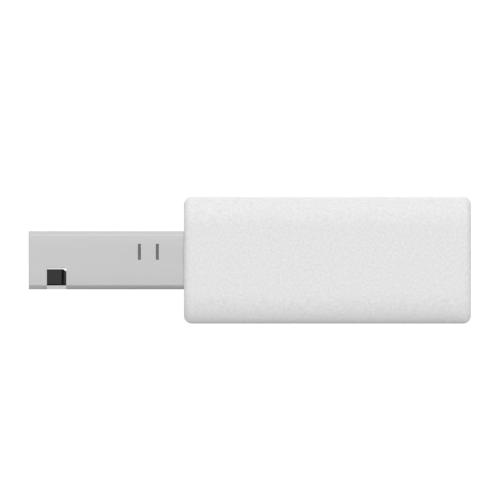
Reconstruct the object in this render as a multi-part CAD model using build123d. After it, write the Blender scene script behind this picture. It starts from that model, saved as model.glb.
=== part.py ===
from build123d import *

import os

# A small wireless network adapter with a USB-A plug.
# A one-piece sleeve, open at the plug's end, holds a circuit board. The board carries the plug, the radio
# chip under a screening can, the crystal, the power parts and a printed antenna. A front plate closes the
# sleeve's mouth round the plug and snaps in with four hooks.
#
# +X runs from the plug's tip to the rear of the sleeve, +Y across it and +Z up. The origin is at the bottom
# centre of the whole adapter, on the surface it lies on. All sizes are in millimetres.

# ---------------------------------------------------------------- sizes: sleeve
body_length = 22.2
body_width = 17.3
body_height = 9.8
wall = 1.2
long_edge_radius = 2.3
end_edge_radius = 0.6
cavity_end_radius = 0.35
mouth_chamfer = 0.12
rail_depth = 0.9
rail_thickness = 0.8
rail_lead_in = 0.5
rail_setback = 0.2
least_radius = 0.1

# ---------------------------------------------------------------- sizes: front plate
plate_thickness = 1.2
plate_recess = 0.15
plate_clearance = 0.06
plate_chamfer = 0.12
hook_width = 3.0
hook_thickness = 0.5
hook_spacing = 8.0
hook_neck = 2.4
barb_length = 1.0
barb_height = 0.34
pocket_clearance = 0.1
post_height = 2.4
post_clearance = 0.12
seat_length = 1.0
seat_depth = 0.7
seat_height = 1.0
seat_gap = 0.25

# ---------------------------------------------------------------- sizes: plug
plug_width = 12.0
plug_height = 4.5
plug_sheet = 0.3
plug_exposed = 12.0
plug_length = 16.4
plug_corner_radius = 0.34
plug_bend_inner_radius = 0.1
plug_tip_chamfer = 0.08
plug_gap = 0.1

face_window_start = 5.16
face_window_length = 2.25
face_window_width = 2.5
face_window_spacing = 5.7

side_window_start = 1.4
side_window_length = 1.5
side_window_top = 0.6
side_window_corner = 0.06

bridge_start = 8.67
bridge_length = 1.16
bridge_height = 1.24
bridge_bottom = 0.03
bridge_depth = 0.12
score_width = 0.23
score_depth = 0.27

seam_width = 0.06
seam_key_start = 5.0
seam_key_length = 2.6
seam_key_neck = 0.7
seam_key_head = 1.3

leg_reach = 2.4
leg_foot_length = 1.4
leg_arm_height = 1.0
leg_above_board = 0.1
leg_below_board = 0.5

# ---------------------------------------------------------------- sizes: insulator and contacts
mouth_depth = 8.65
tongue_setback = 0.6
tongue_thickness = 1.9
tongue_side_gap = 0.05
tongue_top_gap = 0.05
tongue_bottom_chamfer = 0.2
tongue_nose_chamfer = 0.45
insulator_rear_setback = 0.3
lug_length = 1.13
lug_end_gap = 0.02
lug_gap = 0.1
lug_top_gap = 0.085
lug_inset = 0.02
lug_recess = 0.8
lug_split = 0.15
rib_length = 0.18
cored_slot_height = 0.065
cored_slot_drop = 0.24
bridge_pocket_depth = 0.3
bridge_pocket_margin = 0.08
relief_width = 1.1
relief_depth = 0.5
relief_margin = 0.9

contact_width = 1.0
contact_thickness = 0.25
contact_proud = 0.05
contact_nose_drop = 0.26
contact_bend_radius = 0.2
contact_channel_gap = 0.02
contact_tail = 1.9
outer_contact_y = 3.5
inner_contact_y = 1.0
outer_contact_setback = 1.24
inner_contact_setback = 2.24

# ---------------------------------------------------------------- sizes: board and what is on it
board_thickness = 1.0
board_front_gap = 0.15
board_rear_gap = 0.15
board_side_gap = 0.12
board_rail_gap = 0.06
board_corner_radius = 0.4
leg_slot_clearance = 0.14
copper = 0.05
pad_width = 1.2
pad_margin = 0.25
solder_height = 0.18
solder_slope = 0.12
leg_solder_spread = 0.28

antenna_depth = 1.9
antenna_rear_margin = 0.45
antenna_trace = 0.45
antenna_pitch = 1.05
antenna_side_margin = 1.3
antenna_leg_gap = 1.5

can_length = 6.4
can_width = 7.6
can_height = 1.5
can_sheet = 0.2
can_antenna_gap = 0.5
can_offset = 1.7
can_corner_radius = 0.35
fence_gap = 0.02
fence_flange = 0.5
lid_floor_gap = 0.25
vent_radius = 0.25
vent_pitch = 1.2
vent_rows = 4
vent_columns = 5

chip_size = 5.0
chip_height = 0.85
chip_pad_height = 0.06
chip_pads_per_side = 8
chip_pad_pitch = 0.5
chip_pad_width = 0.25
chip_pad_length = 0.4
chip_land_size = 3.3

crystal_length = 2.5
crystal_width = 2.0
crystal_base_height = 0.4
crystal_lid_height = 0.28
crystal_lid_inset = 0.12
crystal_gap = 0.9

chip_part_length = 1.0
chip_part_width = 0.5
chip_part_height = 0.35
chip_part_cap = 0.24
end_cap_wall = 0.03
row_count = 4
row_pitch = 1.7

bulk_part_length = 2.0
bulk_part_width = 1.25
bulk_part_height = 1.0
bulk_part_cap = 0.45

package_width = 2.9
package_depth = 1.6
package_height = 1.0
package_standoff = 0.1
package_lead_width = 0.4
package_lead_sheet = 0.15
package_lead_pitch = 0.95
package_lead_span = 2.8
package_foot = 0.35
package_draft = 0.08

inductor_length = 2.5
inductor_width = 2.0
inductor_height = 1.2
inductor_terminal = 0.5
inductor_terminal_sheet = 0.12

test_pad_radius = 0.45
test_pad_pitch = 1.5
test_pad_count = 5

# ---------------------------------------------------------------- places worked out from the sizes
tip_x = -(plug_exposed + body_length) / 2
mouth_x = tip_x + plug_exposed
rear_x = mouth_x + body_length
middle_z = body_height / 2

cavity_rear_x = rear_x - wall
cavity_half_y = body_width / 2 - wall
cavity_floor_z = wall
cavity_ceiling_z = body_height - wall
cavity_radius = max(long_edge_radius - wall, least_radius)

plate_front_x = mouth_x + plate_recess
plate_back_x = plate_front_x + plate_thickness
barb_x0 = plate_back_x + hook_neck
barb_x1 = barb_x0 + barb_length

plug_half_y = plug_width / 2
plug_inner_half_y = plug_half_y - plug_sheet
plug_bottom_z = middle_z - plug_height / 2
plug_floor_z = plug_bottom_z + plug_sheet
plug_ceiling_z = middle_z + plug_height / 2 - plug_sheet
plug_rear_x = tip_x + plug_length
insulator_front_x = tip_x + mouth_depth
insulator_rear_x = plug_rear_x - insulator_rear_setback
tongue_top_z = plug_floor_z + tongue_thickness
contact_top_z = tongue_top_z + contact_proud
contact_bottom_z = contact_top_z - contact_thickness

board_top_z = contact_bottom_z - copper
board_bottom_z = board_top_z - board_thickness
board_front_x = plug_rear_x + board_front_gap
board_rear_x = cavity_rear_x - board_rear_gap
board_half_y = cavity_half_y - board_side_gap
contact_tail_x = board_front_x + contact_tail
tail_pad_x0 = board_front_x + pad_margin
tail_pad_x1 = contact_tail_x + pad_margin
post_z0 = (board_top_z + board_bottom_z - post_height) / 2
post_z1 = post_z0 + post_height

leg_foot_x1 = plug_rear_x + leg_reach
leg_foot_x0 = leg_foot_x1 - leg_foot_length
leg_slot_x0 = leg_foot_x0 - leg_slot_clearance
leg_slot_x1 = leg_foot_x1 + leg_slot_clearance
leg_solder_x1 = leg_slot_x1 + leg_solder_spread
rail_front_x = leg_solder_x1 + rail_setback

antenna_rear_x = board_rear_x - antenna_rear_margin
antenna_front_x = antenna_rear_x - antenna_depth
can_x1 = antenna_front_x - can_antenna_gap
can_x0 = can_x1 - can_length
can_x = (can_x0 + can_x1) / 2
fence_height = can_height - can_sheet
strip_y = can_offset - can_width / 2 - crystal_gap - crystal_width / 2

CONTACTS = {
    "usb_contact_power": (-outer_contact_y, outer_contact_setback),
    "usb_contact_data_minus": (-inner_contact_y, inner_contact_setback),
    "usb_contact_data_plus": (inner_contact_y, inner_contact_setback),
    "usb_contact_ground": (outer_contact_y, outer_contact_setback),
}


# ---------------------------------------------------------------- shapes that more than one piece uses
def block(x0, x1, y0, y1, z0, z1):
    """A box between two corners."""
    middle = Pos((x0 + x1) / 2, (y0 + y1) / 2, (z0 + z1) / 2)
    return middle * Box(x1 - x0, y1 - y0, z1 - z0)


def bar(x0, x1, width, height, radius, z):
    """A bar along X, centred on y = 0 and the given z, with a rounded rectangular section."""
    section = Plane.YZ.offset(x0) * Pos(0, z) * RectangleRounded(width, height, radius)
    return extrude(section, amount=x1 - x0)


def profile_xz(points, y0, y1):
    """A prism across Y whose outline in the XZ plane goes through the points."""
    outline = make_face(Polyline(*[(x, y1, z) for x, z in points], close=True))
    return extrude(outline, amount=y1 - y0, dir=(0, -1, 0))


def mound(x, y, z, length, width, height, slope):
    """A low block with sloping sides, like a solder fillet. A negative height hangs down from z."""
    foot = Pos(x, y, z) * Rectangle(length, width)
    top = Pos(x, y, z + height) * Rectangle(length - 2 * slope, width - 2 * slope)
    return loft([foot.face(), top.face()])


def mirrored_in_y(shape):
    """The shape and its mirror image on the other side of the centre plane."""
    return shape + mirror(shape, about=Plane.XZ)


def group(solids):
    """Separate solids that make one node."""
    return Compound(children=[s for shape in solids for s in shape.solids()])


# ---------------------------------------------------------------- sleeve
def rail(z0, z1, board_z):
    """One rib along the sleeve's +Y wall that guides the board's edge. Its front end slopes away from the
    board's face at board_z, which is either z0 or z1."""
    y0 = cavity_half_y - rail_depth
    rib = block(rail_front_x, cavity_rear_x + least_radius, y0, cavity_half_y + least_radius, z0, z1)
    step = rail_lead_in if board_z == z0 else -rail_lead_in
    lead = [(rail_front_x, board_z), (rail_front_x + rail_lead_in, board_z), (rail_front_x, board_z + step)]
    return rib - profile_xz(lead, y0 - wall, cavity_half_y + wall)


def housing_sleeve():
    outside = bar(mouth_x, rear_x, body_width, body_height, long_edge_radius, middle_z)
    ends = outside.faces().sort_by(Axis.X)
    outside = fillet(ends[0].edges() + ends[-1].edges(), end_edge_radius)

    cavity_width = 2 * cavity_half_y
    cavity_height = cavity_ceiling_z - cavity_floor_z
    cavity = bar(mouth_x, cavity_rear_x, cavity_width, cavity_height, cavity_radius, middle_z)
    cavity = fillet(cavity.faces().sort_by(Axis.X)[-1].edges(), cavity_end_radius)
    cavity = chamfered_mouth(cavity, cavity_width, cavity_height)
    sleeve = outside - cavity

    upper_z = board_top_z + board_rail_gap
    lower_z = board_bottom_z - board_rail_gap
    rails = rail(upper_z, upper_z + rail_thickness, upper_z)
    rails += rail(lower_z - rail_thickness, lower_z, lower_z)
    sleeve += mirrored_in_y(rails)

    x0 = plate_back_x + plate_clearance
    y0 = cavity_half_y - seat_depth
    for z0 in (post_z0 - seat_gap - seat_height, post_z1 + seat_gap):
        seat = block(x0, x0 + seat_length, y0, cavity_half_y + least_radius, z0, z0 + seat_height)
        sleeve += mirrored_in_y(seat)

    for y in (-hook_spacing / 2, hook_spacing / 2):
        half = hook_width / 2 + pocket_clearance
        x0 = barb_x0 - pocket_clearance
        x1 = barb_x1 + pocket_clearance
        depth = barb_height + pocket_clearance
        sleeve -= block(x0, x1, y - half, y + half, cavity_floor_z - depth, middle_z)
        sleeve -= block(x0, x1, y - half, y + half, middle_z, cavity_ceiling_z + depth)
    return sleeve


def chamfered_mouth(cavity, width, height):
    """The cavity with its mouth opened out a little, which breaks the rim's inner edge."""
    flare = 2 * mouth_chamfer
    narrow = Plane.YZ.offset(mouth_x + mouth_chamfer) * Pos(0, middle_z)
    wide = Plane.YZ.offset(mouth_x) * Pos(0, middle_z)
    inner = narrow * RectangleRounded(width, height, cavity_radius)
    outer = wide * RectangleRounded(width + flare, height + flare, cavity_radius + mouth_chamfer)
    return cavity + loft([outer.face(), inner.face()])


# ---------------------------------------------------------------- front plate
def hook(y, up):
    """One springy arm behind the plate, with a catch that stands out into the sleeve's pocket. up is 1 for
    an arm under the ceiling and -1 for one over the floor."""
    wall_z = cavity_ceiling_z if up > 0 else cavity_floor_z
    outer_z = wall_z - up * plate_clearance
    inner_z = outer_z - up * hook_thickness
    catch_z = wall_z + up * (barb_height - plate_clearance)
    root_x = plate_back_x - least_radius
    points = [
        (root_x, inner_z),
        (barb_x1, inner_z),
        (barb_x1, outer_z),
        (barb_x0 + barb_length / 4, catch_z),
        (barb_x0, catch_z),
        (barb_x0, outer_z),
        (root_x, outer_z),
    ]
    return profile_xz(points, y - hook_width / 2, y + hook_width / 2)


def front_plate():
    width = 2 * (cavity_half_y - plate_clearance)
    height = cavity_ceiling_z - cavity_floor_z - 2 * plate_clearance
    radius = max(cavity_radius - plate_clearance, least_radius)
    plate = bar(plate_front_x, plate_back_x, width, height, radius, middle_z)
    plate = chamfer(plate.faces().sort_by(Axis.X)[0].edges(), plate_chamfer)
    opening = bar(
        plate_front_x - plate_thickness,
        plate_back_x + plate_thickness,
        plug_width + 2 * plug_gap,
        plug_height + 2 * plug_gap,
        plug_corner_radius + plug_gap,
        middle_z,
    )
    plate -= opening

    x0 = plate_back_x - least_radius
    x1 = board_front_x - plate_clearance
    y0 = plug_half_y + post_clearance
    y1 = cavity_half_y - post_clearance
    plate += mirrored_in_y(block(x0, x1, y0, y1, post_z0, post_z1))
    for y in (-hook_spacing / 2, hook_spacing / 2):
        for up in (1, -1):
            plate += hook(y, up)
    return plate


# ---------------------------------------------------------------- plug shell
def side_window():
    """The cut at the +Y lower edge of the shell, near its tip. It takes the side wall and the bend below it,
    and its upper rear corner is cut across."""
    x0 = tip_x + side_window_start
    x1 = x0 + side_window_length
    top = middle_z - side_window_top
    points = [
        (x0, plug_bottom_z - plug_sheet),
        (x1, plug_bottom_z - plug_sheet),
        (x1, top - side_window_corner),
        (x1 - side_window_corner, top),
        (x0, top),
    ]
    return profile_xz(points, plug_inner_half_y - plug_bend_inner_radius, plug_half_y + plug_sheet)


def pressed_bridge():
    """What turns a stretch of the +Y side wall into a bridge that is pressed inwards between two scored
    grooves: the dent with its grooves to cut away, and the metal that stands inwards behind it."""
    x0 = tip_x + bridge_start
    x1 = x0 + bridge_length
    z0 = middle_z + bridge_bottom
    outside_y = plug_half_y + plug_sheet
    dent_y = plug_half_y - bridge_depth
    groove_y = plug_half_y - score_depth
    outline = Polyline(
        (x0 - score_width, outside_y),
        (x0 - score_width, plug_half_y),
        (x0 - score_width / 2, groove_y),
        (x0, dent_y),
        (x1, dent_y),
        (x1 + score_width / 2, groove_y),
        (x1 + score_width, plug_half_y),
        (x1 + score_width, outside_y),
        close=True,
    )
    dent = extrude(Pos(0, 0, z0) * make_face(outline), amount=bridge_height)
    back_y = plug_inner_half_y - bridge_depth
    back = block(x0 - score_width, x1 + score_width, back_y, plug_inner_half_y, z0, z0 + bridge_height)
    return dent, back


def seam():
    """The joint in the shell's bottom where the folded sheet's two edges meet, with a dovetail key."""
    key_x0 = tip_x + seam_key_start
    key_x1 = key_x0 + seam_key_length
    neck = seam_key_neck / 2
    head = seam_key_head / 2
    middle_x = (key_x0 + key_x1) / 2
    path = Polyline(
        (tip_x - plug_sheet, 0),
        (middle_x - neck, 0),
        (middle_x - head, seam_key_neck),
        (middle_x + head, seam_key_neck),
        (middle_x + neck, 0),
        (plug_rear_x + plug_sheet, 0),
    )
    ribbon = Pos(0, 0, plug_bottom_z - plug_sheet) * trace(path, seam_width)
    return extrude(ribbon, amount=2 * plug_sheet + least_radius)


def leg():
    """The +Y leg that stands back from the shell's side wall and goes down through the board."""
    arm_z0 = board_top_z + leg_above_board
    arm_z1 = arm_z0 + leg_arm_height
    arm = block(plug_rear_x - plug_sheet, leg_foot_x1, plug_inner_half_y, plug_half_y, arm_z0, arm_z1)
    foot_z0 = board_bottom_z - leg_below_board
    foot = block(leg_foot_x0, leg_foot_x1, plug_inner_half_y, plug_half_y, foot_z0, arm_z1)
    return arm + foot


def usb_shell():
    inner_radius = min(plug_bend_inner_radius, plug_corner_radius)
    outside = bar(tip_x, plug_rear_x, plug_width, plug_height, plug_corner_radius, middle_z)
    outside = chamfer(outside.faces().sort_by(Axis.X)[0].edges(), plug_tip_chamfer)
    inside = bar(
        tip_x - plug_sheet,
        plug_rear_x + plug_sheet,
        plug_width - 2 * plug_sheet,
        plug_height - 2 * plug_sheet,
        inner_radius,
        middle_z,
    )
    shell = outside - inside
    shell += mirrored_in_y(leg())

    x0 = tip_x + face_window_start
    x1 = x0 + face_window_length
    for y in (-face_window_spacing / 2, face_window_spacing / 2):
        y0 = y - face_window_width / 2
        y1 = y + face_window_width / 2
        shell -= block(x0, x1, y0, y1, plug_bottom_z - plug_sheet, body_height)

    dent, back = pressed_bridge()
    shell += mirrored_in_y(back)
    shell -= mirrored_in_y(dent)
    shell -= mirrored_in_y(side_window())
    return shell - seam()


# ---------------------------------------------------------------- insulator
def window_lugs(half_y):
    """What lies behind the shell's side window: a recess in the +Y side of the tongue, the lug and the narrow
    rib that stand out of it into the window, and the low slot that is cored through the tongue above them."""
    window_x0 = tip_x + side_window_start
    window_x1 = window_x0 + side_window_length
    lug_x0 = window_x0 + lug_end_gap
    lug_x1 = lug_x0 + lug_length
    rib_x0 = lug_x1 + lug_split
    rib_x1 = rib_x0 + rib_length
    low_z = plug_floor_z + lug_gap
    top_z = middle_z - side_window_top - lug_top_gap
    slot_z = top_z + cored_slot_height
    deep_y = half_y - lug_recess
    outer_y = plug_half_y - lug_inset
    recess = block(window_x0, window_x1, deep_y, plug_half_y, plug_bottom_z, slot_z)
    fingers = block(lug_x0, lug_x1, deep_y - plug_sheet, outer_y, low_z, top_z)
    fingers += block(rib_x0, rib_x1, deep_y - plug_sheet, outer_y, low_z, top_z)
    outline = [
        (lug_x0, top_z),
        (window_x1 - cored_slot_drop, top_z),
        (window_x1, slot_z - cored_slot_drop),
        (window_x1, slot_z),
        (lug_x0, slot_z),
    ]
    slot = profile_xz(outline, -plug_half_y, plug_half_y)
    return recess, fingers, slot


def usb_insulator():
    """The black moulding inside the plug: a thick block at the rear that fills the shell, a tongue in front
    of it that carries the contacts, and lugs that stand out into the shell's side windows."""
    half_y = plug_inner_half_y - tongue_side_gap
    front_x = tip_x + tongue_setback
    tongue = block(front_x, insulator_rear_x, -half_y, half_y, plug_floor_z, tongue_top_z)
    nose = tongue.faces().sort_by(Axis.X)[0].edges().filter_by(Axis.Y)
    tongue = chamfer(nose, tongue_nose_chamfer)
    under = tongue.edges().filter_by(Axis.X).group_by(Axis.Z)[0]
    tongue = chamfer(under, tongue_bottom_chamfer)
    block_top_z = plug_ceiling_z - tongue_top_gap
    rear = block(insulator_front_x, insulator_rear_x, -half_y, half_y, tongue_top_z, block_top_z)
    rear = chamfer(rear.edges().filter_by(Axis.X).group_by(Axis.Z)[-1], tongue_bottom_chamfer)
    moulding = tongue + rear

    recess, fingers, slot = window_lugs(half_y)
    moulding -= mirrored_in_y(recess)
    moulding += mirrored_in_y(fingers)
    moulding -= slot

    pocket_x1 = tip_x + bridge_start + bridge_length + score_width + bridge_pocket_margin
    pocket_z0 = middle_z + bridge_bottom - bridge_pocket_margin
    pocket_z1 = pocket_z0 + bridge_height + 2 * bridge_pocket_margin
    pocket_y0 = half_y - bridge_pocket_depth
    pocket = block(tip_x + mouth_depth - plug_sheet, pocket_x1, pocket_y0, plug_half_y, pocket_z0, pocket_z1)
    moulding -= mirrored_in_y(pocket)

    for y in (-relief_margin - relief_width, relief_margin):
        x0 = insulator_front_x + relief_margin
        x1 = insulator_rear_x - relief_margin
        z0 = block_top_z - relief_depth
        moulding -= block(x0, x1, y, y + relief_width, z0, block_top_z + relief_depth)
    for y, setback in CONTACTS.values():
        moulding -= contact_channel(y, setback)
    return moulding


def contact_channel(y, setback):
    """The groove that one contact lies in. It is open upwards on the tongue, and goes through the block as a
    slot."""
    gap = contact_channel_gap
    x0 = tip_x + setback
    y0 = y - contact_width / 2 - gap
    y1 = y + contact_width / 2 + gap
    nose_x1 = x0 + contact_nose_drop + contact_thickness
    nose_z0 = contact_bottom_z - contact_nose_drop - contact_thickness
    groove = block(x0, insulator_rear_x + wall, y0, y1, contact_bottom_z - gap, contact_top_z + gap)
    nose = block(x0 - gap, nose_x1, y0, y1, nose_z0, contact_top_z)
    return groove + nose


def usb_contact(y, setback):
    """One contact strip. Its front end dips into the tongue and its tail lies on the board's pad."""
    x0 = tip_x + setback
    bend_x = x0 + contact_nose_drop
    slant = contact_thickness * 2**0.5
    inner_bend_x = bend_x + contact_thickness * (2**0.5 - 1)
    points = [
        (x0, contact_top_z - contact_nose_drop),
        (bend_x, contact_top_z),
        (contact_tail_x, contact_top_z),
        (contact_tail_x, contact_bottom_z),
        (inner_bend_x, contact_bottom_z),
        (x0, contact_top_z - contact_nose_drop - slant),
    ]
    strip = profile_xz(points, y - contact_width / 2, y + contact_width / 2)
    bend = [e for e in strip.edges().filter_by(Axis.Y) if abs(e.center().X - bend_x) < least_radius / 2]
    return fillet(bend, contact_bend_radius)


# ---------------------------------------------------------------- board
def main_board():
    length = board_rear_x - board_front_x
    outline = Pos((board_front_x + board_rear_x) / 2, 0, board_bottom_z)
    outline *= RectangleRounded(length, 2 * board_half_y, board_corner_radius)
    board = extrude(outline, amount=board_thickness)
    y0 = plug_inner_half_y - leg_slot_clearance
    y1 = plug_half_y + leg_slot_clearance
    z0 = board_bottom_z - board_thickness
    slot = block(leg_slot_x0, leg_slot_x1, y0, y1, z0, board_top_z + board_thickness)
    return board - mirrored_in_y(slot)


def contact_pads():
    """The copper pads under the four contact tails."""
    pads = []
    for y, setback in CONTACTS.values():
        y0 = y - pad_width / 2
        y1 = y + pad_width / 2
        pads.append(block(tail_pad_x0, tail_pad_x1, y0, y1, board_top_z, board_top_z + copper))
    return group(pads)


def solder_joints():
    """The solder round the four contact tails on the top, and round the two shell legs on the underside."""
    joints = []
    middle_x = (tail_pad_x0 + tail_pad_x1) / 2
    length = tail_pad_x1 - tail_pad_x0
    for y, setback in CONTACTS.values():
        bead = mound(middle_x, y, board_top_z + copper, length, pad_width, solder_height, solder_slope / 2)
        joints.append(bead - usb_contact(y, setback))
    length = leg_slot_x1 - leg_slot_x0 + 2 * leg_solder_spread
    width = plug_sheet + 2 * (leg_slot_clearance + leg_solder_spread)
    leg_y = plug_half_y - plug_sheet / 2
    height = leg_below_board - least_radius / 2
    middle_x = (leg_slot_x0 + leg_slot_x1) / 2
    for side in (-1, 1):
        cone = mound(middle_x, side * leg_y, board_bottom_z, length, width, -height, solder_slope)
        foot = leg() if side > 0 else mirror(leg(), about=Plane.XZ)
        joints.append(cone - foot)
    return group(joints)


def printed_antenna():
    """The folded copper trace along the board's rear edge, with its feed leg and its ground leg."""
    half = antenna_trace / 2
    top = board_top_z + copper
    y_end = board_half_y - antenna_side_margin
    y_start = -y_end + antenna_leg_gap
    turns = int((y_end - y_start) / antenna_pitch)
    near = antenna_front_x + half
    far = antenna_rear_x - half

    def run(x0, x1, y0, y1):
        return block(x0 - half, x1 + half, y0 - half, y1 + half, board_top_z, top)

    copper_line = run(near, far, y_start, y_start)
    copper_line += run(far, far, -y_end, y_start)
    copper_line += run(near, far, -y_end, -y_end)
    for turn in range(turns):
        y0 = y_start + turn * antenna_pitch
        y1 = y0 + antenna_pitch
        x = far if turn % 2 == 0 else near
        copper_line += run(x, x, y0, y1)
        copper_line += run(near, far, y1, y1)
    return copper_line


# ---------------------------------------------------------------- radio chip and its screening can
def on_board(x, y):
    """The place on the board's top at x, y, where parts are set down."""
    return Pos(x, y, board_top_z)


def under_board(x, y):
    """The place on the board's underside at x, y, turned so that parts hang down from it."""
    return Pos(x, y, board_bottom_z) * Rot(180, 0, 0)


def wifi_chip():
    body = Pos(0, 0, chip_pad_height + chip_height / 2) * Box(chip_size, chip_size, chip_height)
    body = chamfer(body.faces().sort_by(Axis.Z)[-1].edges(), package_draft)
    return on_board(can_x, can_offset) * body


def wifi_chip_pads():
    """The chip's row of pads along each side, and the large land in its middle."""
    pads = [Pos(0, 0, chip_pad_height / 2) * Box(chip_land_size, chip_land_size, chip_pad_height)]
    reach = (chip_size - chip_pad_length) / 2
    pad = Box(chip_pad_length, chip_pad_width, chip_pad_height)
    for side in range(4):
        for n in range(chip_pads_per_side):
            along = (n - (chip_pads_per_side - 1) / 2) * chip_pad_pitch
            pads.append(Rot(0, 0, 90 * side) * Pos(reach, along, chip_pad_height / 2) * pad)
    return group([on_board(can_x, can_offset) * pad for pad in pads])


def shield_fence():
    """The soldered frame that the can's lid snaps over, with a flange turned in along its top."""
    outer_length = can_length - 2 * (can_sheet + fence_gap)
    outer_width = can_width - 2 * (can_sheet + fence_gap)
    radius = can_corner_radius - can_sheet / 2
    outer = extrude(RectangleRounded(outer_length, outer_width, radius), amount=fence_height)
    inside = Box(outer_length - 2 * can_sheet, outer_width - 2 * can_sheet, 2 * (fence_height - can_sheet))
    opening = Box(outer_length - 2 * fence_flange, outer_width - 2 * fence_flange, 4 * fence_height)
    return on_board(can_x, can_offset) * (outer - inside - opening)


def shield_lid():
    """The screening can: a drawn tin lid with rows of small vents in its top."""
    outer = extrude(RectangleRounded(can_length, can_width, can_corner_radius), amount=can_height)
    outer = fillet(outer.faces().sort_by(Axis.Z)[-1].edges(), can_sheet)
    inner_length = can_length - 2 * can_sheet
    inner_width = can_width - 2 * can_sheet
    inner = RectangleRounded(inner_length, inner_width, can_corner_radius - can_sheet / 2)
    lid = outer - extrude(inner, amount=can_height - can_sheet)
    lid -= Pos(0, 0, lid_floor_gap / 2) * Box(2 * can_length, 2 * can_width, lid_floor_gap)
    vent = Pos(0, 0, can_height) * Cylinder(vent_radius, 2 * can_sheet + least_radius)
    for place in GridLocations(vent_pitch, vent_pitch, vent_rows, vent_columns):
        lid -= place * vent
    return on_board(can_x, can_offset) * lid


def thermal_pad():
    """The soft pad that carries heat from the chip to the can."""
    z0 = board_top_z + chip_pad_height + chip_height
    z1 = board_top_z + can_height - can_sheet
    half = chip_size / 2 - chip_pad_length
    return block(can_x - half, can_x + half, can_offset - half, can_offset + half, z0, z1)


# ---------------------------------------------------------------- small parts
def crystal_base():
    base = extrude(RectangleRounded(crystal_length, crystal_width, least_radius), amount=crystal_base_height)
    return on_board(can_x, strip_y) * base


def crystal_lid():
    length = crystal_length - 2 * crystal_lid_inset
    width = crystal_width - 2 * crystal_lid_inset
    lid = extrude(RectangleRounded(length, width, 2 * least_radius), amount=crystal_lid_height)
    lid = fillet(lid.faces().sort_by(Axis.Z)[-1].edges(), crystal_lid_height / 2)
    return on_board(can_x, strip_y) * Pos(0, 0, crystal_base_height) * lid


def package_body():
    """A small moulded package, lying on its leads, with its long side along Y."""
    body = Box(package_depth, package_width, package_height)
    body = chamfer(body.faces().sort_by(Axis.Z)[-1].edges(), package_draft)
    body = chamfer(body.faces().sort_by(Axis.Z)[0].edges(), package_draft)
    return Pos(0, 0, package_standoff + package_height / 2) * body


def package_leads(places):
    """The package's gull-wing leads. places holds a side, 1 or -1, and a place along Y in pitches."""
    body_x = package_depth / 2
    toe_x = package_lead_span / 2
    out_z = package_standoff + package_height / 2
    sheet = package_lead_sheet
    heel_x = toe_x - package_foot
    points = [
        (body_x, out_z),
        (heel_x - sheet, out_z),
        (heel_x - sheet, 0),
        (toe_x, 0),
        (toe_x, sheet),
        (heel_x, sheet),
        (heel_x, out_z + sheet),
        (body_x, out_z + sheet),
    ]
    half = package_lead_width / 2
    leads = []
    for side, place in places:
        y = place * package_lead_pitch
        lead = profile_xz(points, y - half, y + half)
        leads.append(lead if side > 0 else mirror(lead, about=Plane.YZ))
    return leads


FIVE_LEADS = [(1, -1), (1, 0), (1, 1), (-1, -1), (-1, 1)]
SIX_LEADS = FIVE_LEADS + [(-1, 0)]
power_row_x = board_front_x + leg_reach + package_lead_span
regulator_place = under_board(power_row_x, -package_width)
inductor_place = under_board(power_row_x, package_width / 2)
surge_guard_place = under_board(board_front_x + package_lead_span / 2 + pad_margin, 0)


def inductor_core():
    core = Box(inductor_length - 2 * inductor_terminal_sheet, inductor_width, inductor_height)
    core = chamfer(core.edges().filter_by(Axis.Z), package_draft)
    core = Pos(0, 0, inductor_height / 2 + inductor_terminal_sheet) * core
    return inductor_place * core


def inductor_terminals():
    """The two plates that wrap the inductor's ends and turn under it."""
    half_y = inductor_width / 2 - package_draft
    end_x = inductor_length / 2
    sheet = inductor_terminal_sheet
    points = [
        (end_x - inductor_terminal, 0),
        (end_x, 0),
        (end_x, inductor_height / 2),
        (end_x - sheet, inductor_height / 2),
        (end_x - sheet, sheet),
        (end_x - inductor_terminal, sheet),
    ]
    plate = profile_xz(points, -half_y, half_y)
    return group([inductor_place * plate, inductor_place * mirror(plate, about=Plane.YZ)])


def small_capacitor_places():
    """Where the small capacitors sit: a row across the board before the can, and a pair at each end of the
    crystal."""
    row_x = can_x0 - chip_part_width
    places = []
    for n in range(row_count):
        y = can_offset + (n - (row_count - 1) / 2) * row_pitch
        places.append(on_board(row_x, y) * Rot(0, 0, 90))
    reach = crystal_length / 2 + chip_part_length
    for x in (can_x - reach, can_x + reach):
        for side in (-1, 1):
            places.append(on_board(x, strip_y + side * crystal_width / 4))
    return places


def resistor_places():
    """Where the resistors sit: a row across the board's underside, behind the regulator."""
    x = power_row_x + package_lead_span / 2 + chip_part_length
    places = []
    for n in range(row_count):
        y = (n - (row_count - 1) / 2) * row_pitch
        places.append(under_board(x, y) * Rot(0, 0, 90))
    return places


def bulk_capacitor_places():
    """Where the two larger supply capacitors sit, one on each side of the surge guard."""
    x = board_front_x + leg_foot_length + bulk_part_width
    reach = package_width / 2 + bulk_part_width
    return [under_board(x, side * reach) * Rot(0, 0, 90) for side in (-1, 1)]


def ceramic_part(length, width, height, cap):
    """The body and the two end caps of a small ceramic part lying along X."""
    middle = Box(length - 2 * cap, width - 2 * end_cap_wall, height - 2 * end_cap_wall)
    end = Pos(length / 2 - cap / 2, 0, height / 2) * Box(cap, width, height)
    end = chamfer(end.faces().sort_by(Axis.X)[-1].edges(), end_cap_wall)
    return Pos(0, 0, height / 2) * middle, [end, mirror(end, about=Plane.YZ)]


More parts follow.
